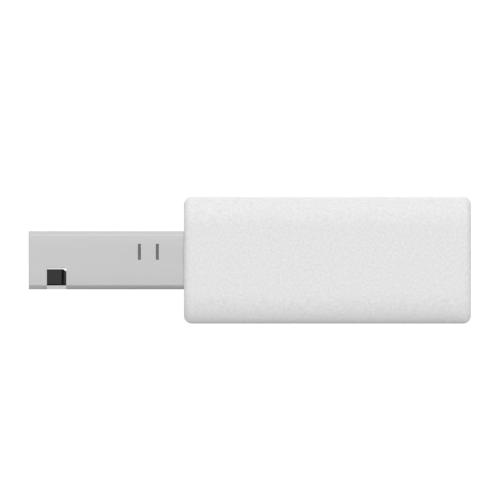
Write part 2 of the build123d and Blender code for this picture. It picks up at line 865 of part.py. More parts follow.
def ceramic_parts():
    """The bodies and end caps of the capacitors and of the resistors, as one node each."""
    small = ceramic_part(chip_part_length, chip_part_width, chip_part_height, chip_part_cap)
    bulk = ceramic_part(bulk_part_length, bulk_part_width, bulk_part_height, bulk_part_cap)
    rows = [
        ("capacitor", small, small_capacitor_places()),
        ("capacitor", bulk, bulk_capacitor_places()),
        ("resistor", small, resistor_places()),
    ]
    solids = {}
    for name, (body, end_caps), places in rows:
        for place in places:
            solids.setdefault(f"{name}_bodies", []).append(place * body)
            solids.setdefault(f"{name}_end_caps", []).extend(place * cap for cap in end_caps)
    return {node: group(shapes) for node, shapes in solids.items()}


def test_pads():
    """The row of round copper pads on the underside, near the rear edge."""
    x = board_rear_x - test_pad_radius - 2 * pad_margin
    disc = Pos(0, 0, copper / 2) * Cylinder(test_pad_radius, copper)
    middle = (test_pad_count - 1) / 2
    return group([under_board(x, (n - middle) * test_pad_pitch) * disc for n in range(test_pad_count)])


# ---------------------------------------------------------------- all the pieces
def pieces():
    made = {
        "housing_sleeve": housing_sleeve(),
        "front_plate": front_plate(),
        "usb_shell": usb_shell(),
        "usb_insulator": usb_insulator(),
        "main_board": main_board(),
        "contact_pads": contact_pads(),
        "solder_joints": solder_joints(),
        "printed_antenna": printed_antenna(),
        "wifi_chip": wifi_chip(),
        "wifi_chip_pads": wifi_chip_pads(),
        "shield_fence": shield_fence(),
        "shield_lid": shield_lid(),
        "thermal_pad": thermal_pad(),
        "crystal_base": crystal_base(),
        "crystal_lid": crystal_lid(),
        "regulator_body": regulator_place * package_body(),
        "regulator_leads": group([regulator_place * lead for lead in package_leads(FIVE_LEADS)]),
        "surge_guard_body": surge_guard_place * package_body(),
        "surge_guard_leads": group([surge_guard_place * lead for lead in package_leads(SIX_LEADS)]),
        "inductor_core": inductor_core(),
        "inductor_terminals": inductor_terminals(),
        "test_pads": test_pads(),
    }
    made.update(ceramic_parts())
    for name, (y, setback) in CONTACTS.items():
        made[name] = usb_contact(y, setback)
    return made


os.makedirs("parts", exist_ok=True)
for node, shape in pieces().items():
    export_step(shape, f"parts/{node}.step")
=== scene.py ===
import math
from contextlib import contextmanager

import bpy
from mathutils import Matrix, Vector


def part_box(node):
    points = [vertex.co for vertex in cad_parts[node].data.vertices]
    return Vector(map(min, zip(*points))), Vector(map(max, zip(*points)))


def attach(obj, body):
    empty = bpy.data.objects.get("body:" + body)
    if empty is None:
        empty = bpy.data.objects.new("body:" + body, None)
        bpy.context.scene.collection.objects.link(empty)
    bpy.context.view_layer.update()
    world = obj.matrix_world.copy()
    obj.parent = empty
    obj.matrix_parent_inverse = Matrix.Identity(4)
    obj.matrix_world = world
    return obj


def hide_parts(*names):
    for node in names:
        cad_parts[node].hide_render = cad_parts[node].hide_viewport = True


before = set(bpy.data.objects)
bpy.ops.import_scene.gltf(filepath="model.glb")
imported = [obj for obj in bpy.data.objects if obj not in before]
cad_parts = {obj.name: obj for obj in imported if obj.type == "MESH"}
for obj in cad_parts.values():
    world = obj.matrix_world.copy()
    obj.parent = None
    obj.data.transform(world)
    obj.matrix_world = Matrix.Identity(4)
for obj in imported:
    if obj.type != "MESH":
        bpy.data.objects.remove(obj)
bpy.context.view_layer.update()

# ---------------------------------------------------------------- sizes, in metres
MM = 0.001
HAIR = 0.001 * MM  # two places closer than this are the same place
POINT = 0.00001 * MM  # how near a cutting plane a corner must be to lie on it
FACING = 0.9  # a face points along an axis when its direction's share of that axis is over this

WALL = 1.2 * MM
LONG_EDGE_RADIUS = 2.3 * MM
END_EDGE_RADIUS = 0.6 * MM
CAVITY_END_RADIUS = 0.35 * MM
MOUTH_CHAMFER = 0.12 * MM
RAIL_DEPTH = 0.9 * MM
RAIL_THICKNESS = 0.8 * MM
RAIL_GAP = 0.06 * MM
RAIL_LEAD_IN = 0.5 * MM
RAIL_SETBACK = 0.2 * MM
SINK = 0.1 * MM  # how far a shape that is joined on reaches into its neighbour
TRIM = 0.006 * MM  # keeps two cuts from sharing a plane
BAR_SEGMENTS = 8
SMOOTH_ANGLE = math.radians(32)  # a corner between two faces that is sharper than this stays sharp

PLATE_THICKNESS = 1.2 * MM
PLATE_CLEARANCE = 0.06 * MM
PLATE_CHAMFER = 0.12 * MM
PLUG_GAP = 0.1 * MM
HOOK_SPACING = 8.0 * MM
HOOK_WIDTH = 3.0 * MM
HOOK_THICKNESS = 0.5 * MM
BARB_LENGTH = 1.0 * MM
BARB_HEIGHT = 0.34 * MM
BARB_SLOPE = 0.75 * BARB_LENGTH
POCKET_CLEARANCE = 0.1 * MM
POST_HEIGHT = 2.4 * MM
POST_CLEARANCE = 0.12 * MM
SEAT_LENGTH = 1.0 * MM
SEAT_DEPTH = 0.7 * MM
SEAT_HEIGHT = 1.0 * MM
SEAT_GAP = 0.25 * MM

SHEET = 0.3 * MM
BEND_RADIUS = 0.34 * MM
TIP_CHAMFER = 0.035 * MM
PLUG_LENGTH = 16.4 * MM
LEG_FOOT_LENGTH = 1.4 * MM
LEG_ARM_HEIGHT = 1.0 * MM
LEG_ABOVE_BOARD = 0.1 * MM
LEG_BELOW_BOARD = 0.5 * MM
LEG_SOLDER_LENGTH = 0.42 * MM
LEG_TOE_RADIUS = 0.25 * MM
FACE_WINDOW_START = 5.16 * MM
FACE_WINDOW_LENGTH = 2.25 * MM
FACE_WINDOW_WIDTH = 2.5 * MM
FACE_WINDOW_SPACING = 5.7 * MM
FACE_WINDOW_CORNER = 0.12 * MM
SIDE_WINDOW_START = 1.4 * MM
SIDE_WINDOW_LENGTH = 1.5 * MM
SIDE_WINDOW_TOP = 0.6 * MM
SIDE_WINDOW_CORNER = 0.06 * MM
BRIDGE_START = 8.67 * MM
BRIDGE_LENGTH = 1.16 * MM
BRIDGE_HEIGHT = 1.24 * MM
BRIDGE_BOTTOM = 0.03 * MM
BRIDGE_DEPTH = 0.12 * MM
SCORE_WIDTH = 0.23 * MM
SCORE_DEPTH = 0.27 * MM
SEAM_WIDTH = 0.06 * MM
SEAM_KEY_MIDDLE = 6.3 * MM
SEAM_KEY_NECK = 0.35 * MM
SEAM_KEY_HEAD = 0.65 * MM
SEAM_KEY_DEPTH = 0.7 * MM
CLEAR_OF_SEAM = 1.2 * MM
SHEARED_EDGE = 0.045 * MM

TONGUE_THICKNESS = 1.9 * MM
TONGUE_NOSE = 0.45 * MM
TONGUE_CHAMFER = 0.2 * MM
BLOCK_START = 8.65 * MM
LUG_LENGTH = 1.15 * MM
LUG_GAP = 0.1 * MM
LUG_TOP_GAP = 0.085 * MM
LUG_SPLIT = 0.15 * MM
LUG_RECESS = 0.8 * MM
LUG_EDGE = 0.02 * MM
RIB_LENGTH = 0.18 * MM
CORED_SLOT = 0.065 * MM
CORED_CORNER = 0.24 * MM
MOULDED_EDGE = 0.05 * MM
BRIDGE_POCKET_DEPTH = 0.3 * MM
BRIDGE_POCKET_GAP = 0.08 * MM
RELIEF_WIDTH = 1.1 * MM
RELIEF_DEPTH = 0.5 * MM
RELIEF_MARGIN = 0.9 * MM
CONTACT_THICKNESS = 0.25 * MM
CONTACT_CHANNEL_GAP = 0.02 * MM
CONTACT_BEND_RADIUS = 0.15 * MM
CONTACT_NOSE_RADIUS = 0.06 * MM
CONTACT_EDGE_RADIUS = 0.04 * MM

# ---------------------------------------------------------------- places, from the frame
SLEEVE_LOW, SLEEVE_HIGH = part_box("housing_sleeve")
PLATE_LOW, PLATE_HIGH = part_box("front_plate")
SHELL_LOW, SHELL_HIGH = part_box("usb_shell")
BLOCK_LOW, BLOCK_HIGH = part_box("usb_insulator")
BOARD_LOW, BOARD_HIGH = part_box("main_board")

MIDDLE_Z = (SLEEVE_LOW.z + SLEEVE_HIGH.z) / 2
TIP_X = SHELL_LOW.x
PLUG_REAR_X = TIP_X + PLUG_LENGTH
MOUTH_X = SLEEVE_LOW.x
CAVITY_REAR_X = SLEEVE_HIGH.x - WALL
CAVITY_HALF_Y = SLEEVE_HIGH.y - WALL
CAVITY_FLOOR_Z = SLEEVE_LOW.z + WALL
CAVITY_CEILING_Z = SLEEVE_HIGH.z - WALL
CAVITY_RADIUS = LONG_EDGE_RADIUS - WALL
PLATE_BACK_X = PLATE_LOW.x + PLATE_THICKNESS
BARB_X = PLATE_HIGH.x - BARB_LENGTH
POST_Z = (BOARD_LOW.z + BOARD_HIGH.z) / 2
RAIL_FRONT_X = SHELL_HIGH.x + LEG_SOLDER_LENGTH + RAIL_SETBACK
PLUG_HALF_Y = SHELL_HIGH.y


# ---------------------------------------------------------------- modelling by hand, in code
def only(piece):
    """Makes one piece the selected and active one."""
    bpy.ops.object.select_all(action="DESELECT")
    piece.select_set(True)
    bpy.context.view_layer.objects.active = piece


def block(name, low, high):
    """A box between two corners, which is where a piece starts."""
    bpy.ops.object.select_all(action="DESELECT")
    low, high = Vector(low), Vector(high)
    bpy.ops.mesh.primitive_cube_add(size=1, location=(low + high) / 2, scale=high - low)
    piece = bpy.context.active_object
    piece.name = name
    piece.data.name = name
    bpy.ops.object.transform_apply(location=True, rotation=True, scale=True)
    return piece


@contextmanager
def picking(piece, kind):
    """Edit mode on one piece, once the body of the with has marked what is picked."""
    only(piece)
    bpy.ops.object.mode_set(mode="EDIT")
    bpy.ops.mesh.select_mode(type=kind)
    bpy.ops.mesh.select_all(action="DESELECT")
    bpy.ops.object.mode_set(mode="OBJECT")
    yield
    bpy.ops.object.mode_set(mode="EDIT")


def pick_faces(piece, test):
    """Edit mode with the faces picked whose middle and outward direction pass the test."""
    with picking(piece, "FACE"):
        for face in piece.data.polygons:
            face.select = test(face.center, face.normal)


def pick_edges(piece, test):
    """Edit mode with the edges picked whose two ends pass the test."""
    with picking(piece, "EDGE"):
        points = piece.data.vertices
        for edge in piece.data.edges:
            a, b = edge.vertices
            edge.select = test(points[a].co, points[b].co)


def done():
    """Leaves edit mode."""
    bpy.ops.object.mode_set(mode="OBJECT")


def same(a, b):
    """Whether two places along an axis are the same."""
    return abs(a - b) < HAIR


def extrude(x=0, y=0, z=0):
    """Pulls the picked faces out by a distance."""
    bpy.ops.mesh.extrude_region_move(TRANSFORM_OT_translate={"value": (x, y, z)})


def round_over(piece, test, radius, segments):
    """Rounds the edges that pass the test. One segment makes a chamfer."""
    pick_edges(piece, test)
    bpy.ops.mesh.bevel(offset=radius, segments=segments, profile=0.5, affect="EDGES", clamp_overlap=False)
    done()


def score(piece, x):
    """Adds a ring of edges round the piece across X at x."""
    pick_faces(piece, lambda at, out: True)
    bpy.ops.mesh.bisect(plane_co=(x, 0, 0), plane_no=(1, 0, 0), threshold=POINT)
    done()


def slice_off(piece, place, direction):
    """Slices off what lies beyond a plane, on the side that direction points to, and closes the cut."""
    pick_faces(piece, lambda at, out: True)
    how = {"use_fill": True, "clear_outer": True, "threshold": POINT}
    bpy.ops.mesh.bisect(plane_co=place, plane_no=direction, **how)
    done()


def along(axis):
    """A test for straight edges along one axis, 0 for X, 1 for Y or 2 for Z."""
    others = [n for n in range(3) if n != axis]
    return lambda a, b: all(same(a[n], b[n]) for n in others)


def at_x(x):
    """A test for edges that lie in the plane across X at x."""
    return lambda a, b: same(a.x, x) and same(b.x, x)


def crossing(x, z):
    """A test for edges that lie along the line across the piece at x and z."""
    return lambda a, b: at_x(x)(a, b) and same(a.z, z) and same(b.z, z)


def bar(name, low, high, radius, segments=BAR_SEGMENTS):
    """A block whose four edges along X are rounded."""
    piece = block(name, low, high)
    round_over(piece, along(0), radius, segments)
    return piece


def apply(piece, kind, **settings):
    """Puts a modifier on the piece and applies it."""
    only(piece)
    modifier = piece.modifiers.new(kind.lower(), kind)
    for setting, value in settings.items():
        setattr(modifier, setting, value)
    bpy.ops.object.modifier_apply(modifier=modifier.name)


def combine(piece, tools, operation):
    """One boolean after another on the piece, each with its tool, which is then cleared away."""
    for tool in tools:
        apply(piece, "BOOLEAN", operation=operation, solver="EXACT", object=tool)
        bpy.data.objects.remove(tool)


def cut(piece, *tools):
    """Cuts the tools out of the piece."""
    combine(piece, tools, "DIFFERENCE")


def weld(piece, *tools):
    """Joins the tools to the piece."""
    combine(piece, tools, "UNION")


def both_sides(make):
    """The shapes that make(side) gives for the +Y side and for the -Y side."""
    return make(1), make(-1)


def across(side, y0, y1):
    """The low and high y of a stretch from y0 to y1, on the +Y side or mirrored to the -Y side."""
    return (y0, y1) if side > 0 else (-y1, -y0)


def stretch(side, x0, x1, y0, y1, z0, z1):
    """A block on one side of the centre plane, with y measured outwards."""
    low_y, high_y = across(side, y0, y1)
    return block("tool", (x0, low_y, z0), (x1, high_y, z1))


def settle(piece, node, material):
    """Shades the finished piece, gives it its material, and puts it in place of its CAD node."""
    only(piece)
    bpy.ops.object.shade_smooth_by_angle(angle=SMOOTH_ANGLE)
    apply(piece, "WEIGHTED_NORMAL", keep_sharp=True, weight=100)
    piece.data.materials.clear()
    piece.data.materials.append(material)
    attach(piece, "root")
    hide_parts(node)
    return piece


# ---------------------------------------------------------------- shader groups
def new_group(name, inputs, outputs):
    """An empty shader group with its sockets. Each is a name, a kind and, for an input, a value."""
    tree = bpy.data.node_groups.new(name, "ShaderNodeTree")
    for label, kind, value in inputs:
        socket = tree.interface.new_socket(name=label, in_out="INPUT", socket_type=kind)
        socket.default_value = value
    for label, kind in outputs:
        tree.interface.new_socket(name=label, in_out="OUTPUT", socket_type=kind)
    return tree, tree.nodes.new("NodeGroupInput"), tree.nodes.new("NodeGroupOutput")


def noise(tree, vector, scale_link, detail, roughness):
    """A noise texture in a tree, with its scale taken from a link."""
    node = tree.nodes.new("ShaderNodeTexNoise")
    node.inputs["Detail"].default_value = detail
    node.inputs["Roughness"].default_value = roughness
    tree.links.new(vector, node.inputs["Vector"])
    tree.links.new(scale_link, node.inputs["Scale"])
    return node.outputs["Fac"]


def times(tree, value, factor):
    """A link's value multiplied by a number."""
    node = tree.nodes.new("ShaderNodeMath")
    node.operation = "MULTIPLY"
    node.inputs[1].default_value = factor
    tree.links.new(value, node.inputs[0])
    return node.outputs[0]


def remap(tree, value, low, high, to_low, to_high):
    """The value taken from low..high to to_low..to_high, where the last two may be links or numbers."""
    node = tree.nodes.new("ShaderNodeMapRange")
    node.inputs["From Min"].default_value = low
    node.inputs["From Max"].default_value = high
    tree.links.new(value, node.inputs["Value"])
    for label, target in (("To Min", to_low), ("To Max", to_high)):
        if hasattr(target, "links"):
            tree.links.new(target, node.inputs[label])
        else:
            node.inputs[label].default_value = target
    return node.outputs["Result"]


def mix_colours(tree, factor, dark, light):
    """A colour between dark and light. A Mix node has sockets of one name for each kind of value, and the
    ones for colours are picked by their type."""
    node = tree.nodes.new("ShaderNodeMix")
    node.data_type = "RGBA"
    first, second = [socket for socket in node.inputs if socket.type == "RGBA"]
    tree.links.new(factor, node.inputs["Factor"])
    tree.links.new(dark, first)
    tree.links.new(light, second)
    return next(socket for socket in node.outputs if socket.type == "RGBA")


GRAIN_INPUTS = [
    ("Light", "NodeSocketColor", (0.8, 0.8, 0.8, 1)),
    ("Dark", "NodeSocketColor", (0.7, 0.7, 0.7, 1)),
    ("Grains per metre", "NodeSocketFloat", 4000.0),
    ("Smoothest", "NodeSocketFloat", 0.4),
    ("Roughest", "NodeSocketFloat", 0.6),
]
GRAIN_OUTPUTS = [
    ("Color", "NodeSocketColor"),
    ("Roughness", "NodeSocketFloat"),
    ("Height", "NodeSocketFloat"),
]


FINE_DETAIL = 3.0
FINE_ROUGHNESS = 0.55
CLOUD_DETAIL = 2.0
CLOUD_ROUGHNESS = 0.5
CLOUDS_PER_GRAIN = 0.07
NOISE_RANGE = (0.3, 0.7)  # where nearly all of a noise texture's values lie


def grain_group(name, squeeze):
    """Grain in two sizes: fine grain for colour and height, and broad clouds for roughness. squeeze says
    how fast the pattern changes along each axis, so a small X makes lines along X."""
    tree, given, out = new_group(name, GRAIN_INPUTS, GRAIN_OUTPUTS)
    place = tree.nodes.new("ShaderNodeTexCoord")
    mapping = tree.nodes.new("ShaderNodeMapping")
    mapping.inputs["Scale"].default_value = squeeze
    tree.links.new(place.outputs["Object"], mapping.inputs["Vector"])
    at = mapping.outputs["Vector"]
    scale = given.outputs["Grains per metre"]
    fine = noise(tree, at, scale, FINE_DETAIL, FINE_ROUGHNESS)
    broad = noise(tree, at, times(tree, scale, CLOUDS_PER_GRAIN), CLOUD_DETAIL, CLOUD_ROUGHNESS)
    spread = remap(tree, fine, *NOISE_RANGE, 0.0, 1.0)
    colour = mix_colours(tree, spread, given.outputs["Dark"], given.outputs["Light"])
    tree.links.new(colour, out.inputs["Color"])
    rough = remap(tree, broad, *NOISE_RANGE, given.outputs["Smoothest"], given.outputs["Roughest"])
    tree.links.new(rough, out.inputs["Roughness"])
    tree.links.new(fine, out.inputs["Height"])
    return tree


EVEN_GRAIN = grain_group("even_grain", (1, 1, 1))
LINES_ALONG = grain_group("lines_along", (0.03, 1, 1))


def finish_material(name, group, light, dark, grains, rough, depth, **settings):
    """A material whose colour, roughness and fine relief come from a grain group. rough is its smoothest
    and roughest, depth is the relief's height in metres, and settings are more inputs of the shader."""
    material = bpy.data.materials.new(name)
    material.use_nodes = True
    tree = material.node_tree
    surface = tree.nodes["Principled BSDF"]
    grain = tree.nodes.new("ShaderNodeGroup")
    grain.node_tree = group
    grain.inputs["Light"].default_value = (*light, 1)
    grain.inputs["Dark"].default_value = (*dark, 1)
    grain.inputs["Grains per metre"].default_value = grains
    grain.inputs["Smoothest"].default_value = rough[0]
    grain.inputs["Roughest"].default_value = rough[1]
    bump = tree.nodes.new("ShaderNodeBump")
    bump.inputs["Strength"].default_value = 1.0
    bump.inputs["Distance"].default_value = depth
    tree.links.new(grain.outputs["Height"], bump.inputs["Height"])
    tree.links.new(bump.outputs["Normal"], surface.inputs["Normal"])
    tree.links.new(grain.outputs["Color"], surface.inputs["Base Color"])
    tree.links.new(grain.outputs["Roughness"], surface.inputs["Roughness"])
    for label, value in settings.items():
        surface.inputs[label.replace("_", " ").title().replace("Ior", "IOR")].default_value = value
    return material


def grey(value, warm=0.0):
    """A grey, a little warmer or cooler."""
    return value * (1 + warm), value, value * (1 - warm)


MOULDED_GREY = finish_material(
    "moulded_grey", EVEN_GRAIN, light=grey(0.92), dark=grey(0.81),
    grains=5200, rough=(0.5, 0.62), depth=0.008 * MM, specular_ior_level=0.35,
)
NICKEL_SHEET = finish_material(
    "nickel_sheet", LINES_ALONG, light=grey(0.525), dark=grey(0.51),
    grains=9000, rough=(0.10, 0.15), depth=0.0002 * MM, metallic=1.0,
)
BLACK_MOULDING = finish_material(
    "black_moulding", EVEN_GRAIN, light=grey(0.016), dark=grey(0.011),
    grains=7000, rough=(0.38, 0.5), depth=0.002 * MM, specular_ior_level=0.4,
)
GOLD_PLATE = finish_material(
    "gold_plate", LINES_ALONG, light=(0.95, 0.68, 0.27), dark=(0.86, 0.58, 0.2),
    grains=9000, rough=(0.16, 0.26), depth=0.0006 * MM, metallic=1.0,
)
SOLDER_MASK = finish_material(
    "solder_mask", EVEN_GRAIN, light=(0.012, 0.13, 0.045), dark=(0.008, 0.09, 0.03),
    grains=3000, rough=(0.22, 0.34), depth=0.004 * MM,
)
PAD_GOLD = finish_material(
    "pad_gold", EVEN_GRAIN, light=(0.86, 0.62, 0.3), dark=(0.76, 0.52, 0.22),
    grains=6000, rough=(0.3, 0.42), depth=0.002 * MM, metallic=1.0,
)
BRIGHT_SOLDER = finish_material(
    "bright_solder", EVEN_GRAIN, light=grey(0.78), dark=grey(0.68),
    grains=3000, rough=(0.18, 0.32), depth=0.006 * MM, metallic=1.0,
)
CHIP_MOULDING = finish_material(
    "chip_moulding", EVEN_GRAIN, light=grey(0.032), dark=grey(0.018),
    grains=9000, rough=(0.5, 0.65), depth=0.005 * MM,
)
TIN_PLATE = finish_material(
    "tin_plate", EVEN_GRAIN, light=grey(0.7, 0.01), dark=grey(0.62, 0.01),
    grains=6000, rough=(0.32, 0.45), depth=0.002 * MM, metallic=1.0,
)
SCREENING_TIN = finish_material(
    "screening_tin", LINES_ALONG, light=grey(0.68, 0.01), dark=grey(0.6, 0.01),
    grains=5000, rough=(0.26, 0.38), depth=0.0015 * MM, metallic=1.0,
)
HEAT_PAD = finish_material(
    "heat_pad", EVEN_GRAIN, light=(0.40, 0.50, 0.62), dark=(0.32, 0.41, 0.52),
    grains=5000, rough=(0.6, 0.75), depth=0.008 * MM,
)
DARK_CERAMIC = finish_material(
    "dark_ceramic", EVEN_GRAIN, light=(0.1, 0.075, 0.065), dark=(0.07, 0.05, 0.045),
    grains=7000, rough=(0.5, 0.65), depth=0.003 * MM,
)
LID_METAL = finish_material(
    "lid_metal", LINES_ALONG, light=(0.72, 0.7, 0.64), dark=(0.64, 0.62, 0.56),
    grains=8000, rough=(0.2, 0.32), depth=0.001 * MM, metallic=1.0,
)
FERRITE = finish_material(
    "ferrite", EVEN_GRAIN, light=grey(0.065), dark=grey(0.04),
    grains=5000, rough=(0.55, 0.7), depth=0.006 * MM,
)
TAN_CERAMIC = finish_material(
    "tan_ceramic", EVEN_GRAIN, light=(0.44, 0.3, 0.18), dark=(0.36, 0.235, 0.13),
    grains=6000, rough=(0.4, 0.55), depth=0.003 * MM,
)
RESISTOR_GLAZE = finish_material(
    "resistor_glaze", EVEN_GRAIN, light=grey(0.03), dark=grey(0.02),
    grains=6000, rough=(0.25, 0.4), depth=0.002 * MM,
)


# ---------------------------------------------------------------- sleeve
def board_rail(side, low_z, high_z, board_z):
    """One rib along the cavity's wall. Its front end slopes away from the board's face at board_z."""
    long_x = (RAIL_FRONT_X, CAVITY_REAR_X + SINK)
    deep_y = (CAVITY_HALF_Y - RAIL_DEPTH, CAVITY_HALF_Y + SINK)
    rib = stretch(side, *long_x, *deep_y, low_z, high_z)
    round_over(rib, crossing(RAIL_FRONT_X, board_z), RAIL_LEAD_IN, segments=1)
    return rib


def sleeve():
    """The moulded sleeve, closed at its rear. It is hollowed from its front end, and the cavity then gets
    its rails, the seats for the plate and the pockets for the catches."""
    shell = bar("sleeve", SLEEVE_LOW, SLEEVE_HIGH, LONG_EDGE_RADIUS, segments=14)
    round_over(shell, at_x(SLEEVE_HIGH.x), END_EDGE_RADIUS, segments=6)
    round_over(shell, at_x(MOUTH_X), END_EDGE_RADIUS, segments=6)

    pick_faces(shell, lambda at, out: same(at.x, MOUTH_X) and out.x < -FACING)
    bpy.ops.mesh.inset(thickness=WALL - END_EDGE_RADIUS - MOUTH_CHAMFER)
    bpy.ops.mesh.inset(thickness=MOUTH_CHAMFER)
    bpy.ops.transform.translate(value=(MOUTH_CHAMFER, 0, 0))
    extrude(x=CAVITY_REAR_X - MOUTH_X - MOUTH_CHAMFER)
    done()
    round_over(shell, at_x(CAVITY_REAR_X), CAVITY_END_RADIUS, segments=3)

    upper = BOARD_HIGH.z + RAIL_GAP
    lower = BOARD_LOW.z - RAIL_GAP
    weld(shell, *both_sides(lambda side: board_rail(side, upper, upper + RAIL_THICKNESS, upper)))
    weld(shell, *both_sides(lambda side: board_rail(side, lower - RAIL_THICKNESS, lower, lower)))

    seat_x = PLATE_BACK_X + PLATE_CLEARANCE
    reach = POST_HEIGHT / 2 + SEAT_GAP
    for low_z in (POST_Z - reach - SEAT_HEIGHT, POST_Z + reach):
        inner_y = CAVITY_HALF_Y - SEAT_DEPTH
        outer_y = CAVITY_HALF_Y + SINK
        size = (seat_x, seat_x + SEAT_LENGTH, inner_y, outer_y, low_z, low_z + SEAT_HEIGHT)
        weld(shell, *both_sides(lambda side: stretch(side, *size)))

    x0 = BARB_X - POCKET_CLEARANCE
    x1 = PLATE_HIGH.x + POCKET_CLEARANCE
    y0 = HOOK_SPACING / 2 - HOOK_WIDTH / 2 - POCKET_CLEARANCE
    y1 = HOOK_SPACING / 2 + HOOK_WIDTH / 2 + POCKET_CLEARANCE
    depth = BARB_HEIGHT + POCKET_CLEARANCE
    in_floor = (CAVITY_FLOOR_Z - depth, CAVITY_FLOOR_Z + SINK)
    in_ceiling = (CAVITY_CEILING_Z - SINK, CAVITY_CEILING_Z + depth)
    for z0, z1 in (in_floor, in_ceiling):
        cut(shell, *both_sides(lambda side: stretch(side, x0, x1, y0, y1, z0, z1)))
    return settle(shell, "housing_sleeve", MOULDED_GREY)


# ---------------------------------------------------------------- front plate
def catch_arm(side, up):
    """An arm behind the plate with a catch on its outer face. up is 1 at the ceiling, -1 at the floor."""
    wall_z = CAVITY_CEILING_Z if up > 0 else CAVITY_FLOOR_Z
    outer_z = wall_z - up * PLATE_CLEARANCE
    inner_z = outer_z - up * HOOK_THICKNESS
    y0 = HOOK_SPACING / 2 - HOOK_WIDTH / 2
    y1 = HOOK_SPACING / 2 + HOOK_WIDTH / 2
    low_z, high_z = sorted((inner_z, outer_z))
    arm = stretch(side, PLATE_BACK_X - SINK, PLATE_HIGH.x, y0, y1, low_z, high_z)
    score(arm, BARB_X)
    pick_faces(arm, lambda at, out: at.x > BARB_X and out.z * up > FACING)
    extrude(z=up * BARB_HEIGHT)
    done()
    pick_edges(arm, crossing(PLATE_HIGH.x, outer_z + up * BARB_HEIGHT))
    bpy.ops.transform.translate(value=(-BARB_SLOPE, 0, 0))
    done()
    return arm


def front_plate():
    """The plate that closes the sleeve's mouth round the plug, with its arms, catches and board stops."""
    half_y = CAVITY_HALF_Y - PLATE_CLEARANCE
    low = (PLATE_LOW.x, -half_y, CAVITY_FLOOR_Z + PLATE_CLEARANCE)
    high = (PLATE_BACK_X, half_y, CAVITY_CEILING_Z - PLATE_CLEARANCE)
    plate = bar("mouth_plate", low, high, CAVITY_RADIUS - PLATE_CLEARANCE)
    round_over(plate, at_x(PLATE_LOW.x), PLATE_CHAMFER, segments=3)

    reach_y = PLUG_HALF_Y + PLUG_GAP
    low = (PLATE_LOW.x - WALL, -reach_y, SHELL_LOW.z - PLUG_GAP)
    high = (PLATE_BACK_X + WALL, reach_y, SHELL_HIGH.z + PLUG_GAP)
    cut(plate, bar("tool", low, high, BEND_RADIUS + PLUG_GAP))

    def plug_opening_rim(a, b):
        return at_x(PLATE_LOW.x)(a, b) and max(abs(a.y), abs(b.y)) < reach_y + HAIR

    round_over(plate, plug_opening_rim, MOULDED_EDGE, segments=2)

    y0 = PLUG_HALF_Y + POST_CLEARANCE
    y1 = CAVITY_HALF_Y - POST_CLEARANCE
    x1 = BOARD_LOW.x - PLATE_CLEARANCE
    post = (PLATE_BACK_X - SINK, x1, y0, y1, POST_Z - POST_HEIGHT / 2, POST_Z + POST_HEIGHT / 2)
    weld(plate, *both_sides(lambda side: stretch(side, *post)))
    for up in (1, -1):
        weld(plate, *both_sides(lambda side: catch_arm(side, up)))
    return settle(plate, "front_plate", MOULDED_GREY)


# ---------------------------------------------------------------- plug shell
def side_window(side):
    """The cutter for the notch in the shell's lower edge, with its upper rear corner cut off."""
    x0 = TIP_X + SIDE_WINDOW_START
    x1 = x0 + SIDE_WINDOW_LENGTH
    top = MIDDLE_Z - SIDE_WINDOW_TOP
    inner_y = PLUG_HALF_Y - SHEET - MOULDED_EDGE
    tool = stretch(side, x0, x1, inner_y, PLUG_HALF_Y + SHEET, SHELL_LOW.z - SHEET, top)
    round_over(tool, crossing(x1, top), SIDE_WINDOW_CORNER, segments=1)
    return tool


def bridge_dent(side):
    """The cutter for the pressed-in bridge: a shallow dent with a scored V groove along each end."""
    x0 = TIP_X + BRIDGE_START
    x1 = x0 + BRIDGE_LENGTH
    z0 = MIDDLE_Z + BRIDGE_BOTTOM
    face_y = side * PLUG_HALF_Y
    long_x = (x0 - SCORE_WIDTH, x1 + SCORE_WIDTH)
    tool = stretch(side, *long_x, PLUG_HALF_Y, PLUG_HALF_Y + SHEET, z0, z0 + BRIDGE_HEIGHT)
    for x in (x0 - SCORE_WIDTH / 2, x0, x1, x1 + SCORE_WIDTH / 2):
        score(tool, x)

    def on_face_at(a, b, *places):
        on_line = same(a.y, face_y) and same(b.y, face_y) and same(a.x, b.x)
        return on_line and any(same(a.x, x) for x in places)

    for x, depth in ((x0 - SCORE_WIDTH / 2, SCORE_DEPTH), (x0, BRIDGE_DEPTH)):
        pick_edges(tool, lambda a, b: on_face_at(a, b, x, x0 + x1 - x))
        bpy.ops.transform.translate(value=(0, -side * depth, 0))
        done()
    return tool


def bridge_back(side):
    """The metal that stands inwards behind the pressed-in bridge."""
    x0 = TIP_X + BRIDGE_START - SCORE_WIDTH
    x1 = TIP_X + BRIDGE_START + BRIDGE_LENGTH + SCORE_WIDTH
    z0 = MIDDLE_Z + BRIDGE_BOTTOM
    y0 = PLUG_HALF_Y - SHEET - BRIDGE_DEPTH
    return stretch(side, x0, x1, y0, y0 + BRIDGE_DEPTH + SINK, z0, z0 + BRIDGE_HEIGHT)


def key_prism(grow):
    """The seam's dovetail key, grown by a margin all round."""
    middle = TIP_X + SEAM_KEY_MIDDLE
    half = SEAM_KEY_NECK + grow
    low = (middle - half, -grow, SHELL_LOW.z - SINK)
    high = (middle + half, SEAM_KEY_DEPTH + grow, SHELL_LOW.z + SHEET + SINK)
    key = block("tool", low, high)
    pick_faces(key, lambda at, out: out.y > FACING)
    spread = (SEAM_KEY_HEAD + grow) / half
    bpy.ops.transform.resize(value=(spread, 1, 1), center_override=(middle, 0, 0))
    done()
    return key


def seam_cut():
    """The cutter for the joint in the shell's bottom: a straight slot that goes round the dovetail key."""
    half = SEAM_WIDTH / 2
    low = (TIP_X - SINK, -half, SHELL_LOW.z - SINK / 2)
    high = (PLUG_REAR_X + SINK, half, SHELL_LOW.z + SHEET + SINK / 2)
    slot = block("tool", low, high)
    weld(slot, key_prism(half))
    cut(slot, key_prism(-half))
    return slot


